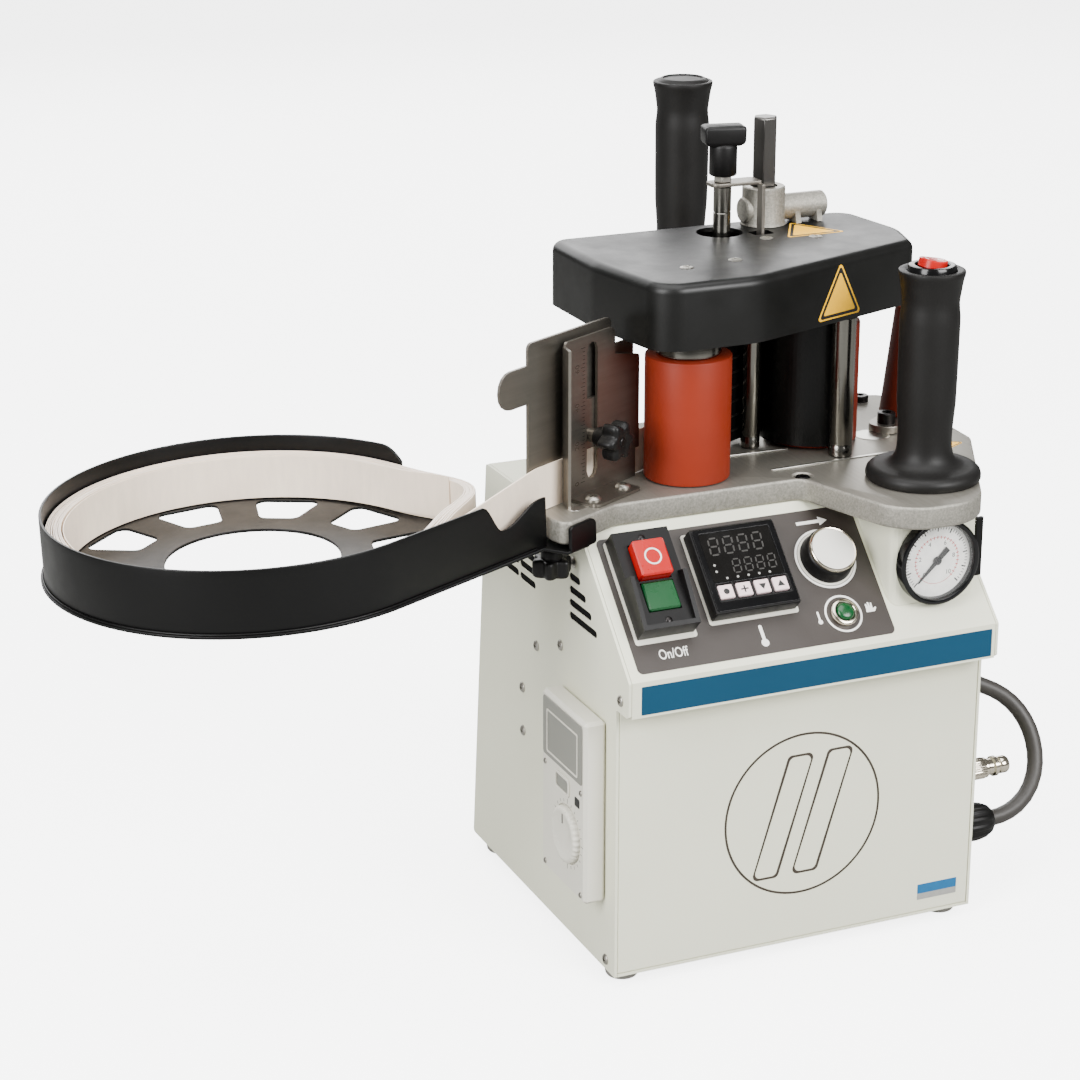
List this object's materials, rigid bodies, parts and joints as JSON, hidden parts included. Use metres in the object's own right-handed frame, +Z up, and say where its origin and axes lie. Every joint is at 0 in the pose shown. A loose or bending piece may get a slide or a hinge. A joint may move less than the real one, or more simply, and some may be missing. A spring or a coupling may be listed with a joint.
{
  "type": "edge banding machine",
  "caption": "Bench-top edge banding machine: sheet housing with sloped controls, cast head plate, glue and press rollers, slotted guides, round tape tray and two upright handles.",
  "frame": {"origin": "middle of the machine's bounding box at the level of the feet, measured without the mains lead, its coil and its plug", "axes": "+X to the operator's right, +Y to the back, +Z up"},
  "size_m": [0.5453, 0.3574, 0.4155],
  "materials": {
    "paint": "fine-textured warm white paint",
    "black_paint": "satin black powder coat",
    "black_plastic": "fine-grained black",
    "grip_rubber": "matte black",
    "cable_rubber": "smooth dark grey",
    "steel": "brushed",
    "cast_aluminium": "machined face, rough cast edge",
    "silicone": "orange-red, matte",
    "red_plastic": "semi-gloss",
    "green_plastic": "semi-gloss",
    "pale_plastic": "fine-grained",
    "key_plastic": "satin",
    "nickel": "nickel plated",
    "tape": "unprinted edge banding",
    "foot_rubber": "grey"
  },
  "bodies": {
    "machine": {"air_coupling": "nickel", "base_pan": "paint", "bearing_plate": "cast_aluminium", "cable_clip": "steel", "cable_coil": "cable_rubber", "cable_gland": "black_plastic", "clamp_block": "cast_aluminium", "control_panel": "paint", "controller_case": "black_plastic", "drive_motor": "cast_aluminium", "edge_tape": "tape", "feed_button_ring": "nickel", "foot_1": "foot_rubber", "foot_2": "foot_rubber", "foot_3": "foot_rubber", "foot_4": "foot_rubber", "front_guide": "steel", "front_handle": "grip_rubber", "front_panel": "paint", "front_post": "steel", "gauge_box": "paint", "gauge_case": "black_plastic", "head_plate": "cast_aluminium", "heater_nozzle": "black_plastic", "left_panel": "paint", "mains_cable": "cable_rubber", "mains_plug": "black_plastic", "meter_case": "pale_plastic", "rear_arm": "cast_aluminium", "rear_guide": "steel", "rear_handle": "grip_rubber", "rear_panel": "paint", "rear_post": "steel", "right_panel": "paint", "switch_housing": "black_plastic", "tape_tray": "black_paint", "top_cover": "black_paint"},
    "stop_button": {"stop_button": "red_plastic"},
    "start_button": {"start_button": "green_plastic"},
    "mode_key": {"mode_key": "key_plastic"},
    "set_key": {"set_key": "key_plastic"},
    "down_key": {"down_key": "key_plastic"},
    "up_key": {"up_key": "key_plastic"},
    "speed_knob": {"speed_knob": "black_plastic"},
    "feed_button": {"feed_button": "green_plastic"},
    "gauge_needle": {"gauge_needle": "black_plastic"},
    "meter_dial": {"meter_dial": "pale_plastic"},
    "rocker_switch": {"rocker_switch": "red_plastic"},
    "feed_roller": {"feed_roller": "silicone", "feed_shaft": "steel"},
    "press_roller": {"press_roller": "silicone"},
    "end_roller_arm": {"end_roller_arm": "steel"},
    "end_roller": {"end_roller": "silicone"},
    "tape_limiter": {"tape_limiter": "steel"},
    "guide_knob": {"guide_knob": "black_plastic"},
    "tray_knob": {"tray_knob": "black_plastic"},
    "lift_rod": {"lift_rod": "steel", "lift_bracket": "steel"},
    "lift_knob": {"lift_knob": "black_plastic"},
    "hex_bar": {"hex_bar": "steel"}
  },
  "joints": [
    {"name": "stop_press", "type": "slide", "parent": "machine", "child": "stop_button", "axis": [0, 0.7053, -0.7089], "range_m": [0, 0.0025], "stiffness_N_per_m": 600},
    {"name": "start_press", "type": "slide", "parent": "machine", "child": "start_button", "axis": [0, 0.7053, -0.7089], "range_m": [0, 0.0025], "stiffness_N_per_m": 600},
    {"name": "mode_key_press", "type": "slide", "parent": "machine", "child": "mode_key", "axis": [0, 0.7053, -0.7089], "range_m": [0, 0.0008], "stiffness_N_per_m": 600},
    {"name": "set_key_press", "type": "slide", "parent": "machine", "child": "set_key", "axis": [0, 0.7053, -0.7089], "range_m": [0, 0.0008], "stiffness_N_per_m": 600},
    {"name": "down_key_press", "type": "slide", "parent": "machine", "child": "down_key", "axis": [0, 0.7053, -0.7089], "range_m": [0, 0.0008], "stiffness_N_per_m": 600},
    {"name": "up_key_press", "type": "slide", "parent": "machine", "child": "up_key", "axis": [0, 0.7053, -0.7089], "range_m": [0, 0.0008], "stiffness_N_per_m": 600},
    {"name": "speed_turn", "type": "hinge", "parent": "machine", "child": "speed_knob", "pos_m": [0.13295, -0.1219, 0.2138], "axis": [0, -0.7053, 0.7089], "range_deg": [-135, 135]},
    {"name": "feed_press", "type": "slide", "parent": "machine", "child": "feed_button", "axis": [0, 0.7053, -0.7089], "range_m": [0, 0.0018], "stiffness_N_per_m": 600},
    {"name": "pressure_reading", "type": "hinge", "parent": "machine", "child": "gauge_needle", "pos_m": [0.18395, -0.1406, 0.2098], "axis": [0, 1, 0], "range_deg": [0, 270]},
    {"name": "meter_dial_turn", "type": "hinge", "parent": "machine", "child": "meter_dial", "pos_m": [-0.00685, -0.1071, 0.076], "axis": [-1, 0, 0], "range_deg": [-150, 150]},
    {"name": "rocker_tip", "type": "hinge", "parent": "machine", "child": "rocker_switch", "pos_m": [0.18975, -0.1163, 0.358], "axis": [0, 1, 0], "range_deg": [-20, 0]},
    {"name": "feed_roller_spin", "type": "hinge", "parent": "machine", "child": "feed_roller", "pos_m": [0.07925, -0.0643, 0.279], "axis": [0, 0, 1], "continuous": true},
    {"name": "press_roller_spin", "type": "hinge", "parent": "machine", "child": "press_roller", "pos_m": [0.17065, -0.0295, 0.279], "axis": [0, 0, 1], "continuous": true},
    {"name": "end_arm_swing", "type": "hinge", "parent": "machine", "child": "end_roller_arm", "pos_m": [0.21415, -0.0361, 0.248], "axis": [0, 0, 1], "range_deg": [-8, 8]},
    {"name": "end_roller_spin", "type": "hinge", "parent": "end_roller_arm", "child": "end_roller", "pos_m": [0.23415, -0.0235, 0.281], "axis": [0, 0, 1], "continuous": true},
    {"name": "limiter_height", "type": "slide", "parent": "machine", "child": "tape_limiter", "axis": [0, 0, 1], "range_m": [0, 0.042]},
    {"name": "guide_knob_turn", "type": "hinge", "parent": "tape_limiter", "child": "guide_knob", "pos_m": [0.02155, -0.0728, 0.277], "axis": [0.4802, -0.8771, 0], "continuous": true},
    {"name": "tray_knob_turn", "type": "hinge", "parent": "machine", "child": "tray_knob", "pos_m": [-0.00785, -0.0891, 0.221], "axis": [0, 0, -1], "continuous": true},
    {"name": "lift", "type": "slide", "parent": "machine", "child": "lift_rod", "axis": [0, 0, 1], "range_m": [-0.008, 0.008]},
    {"name": "lift_knob_turn", "type": "hinge", "parent": "lift_rod", "child": "lift_knob", "pos_m": [0.12915, -0.0011, 0.396], "axis": [0, 0, 1], "continuous": true},
    {"name": "hex_bar_turn", "type": "hinge", "parent": "machine", "child": "hex_bar", "pos_m": [0.16015, 0.0109, 0.386], "axis": [0, 0, 1], "continuous": true}
  ]
}
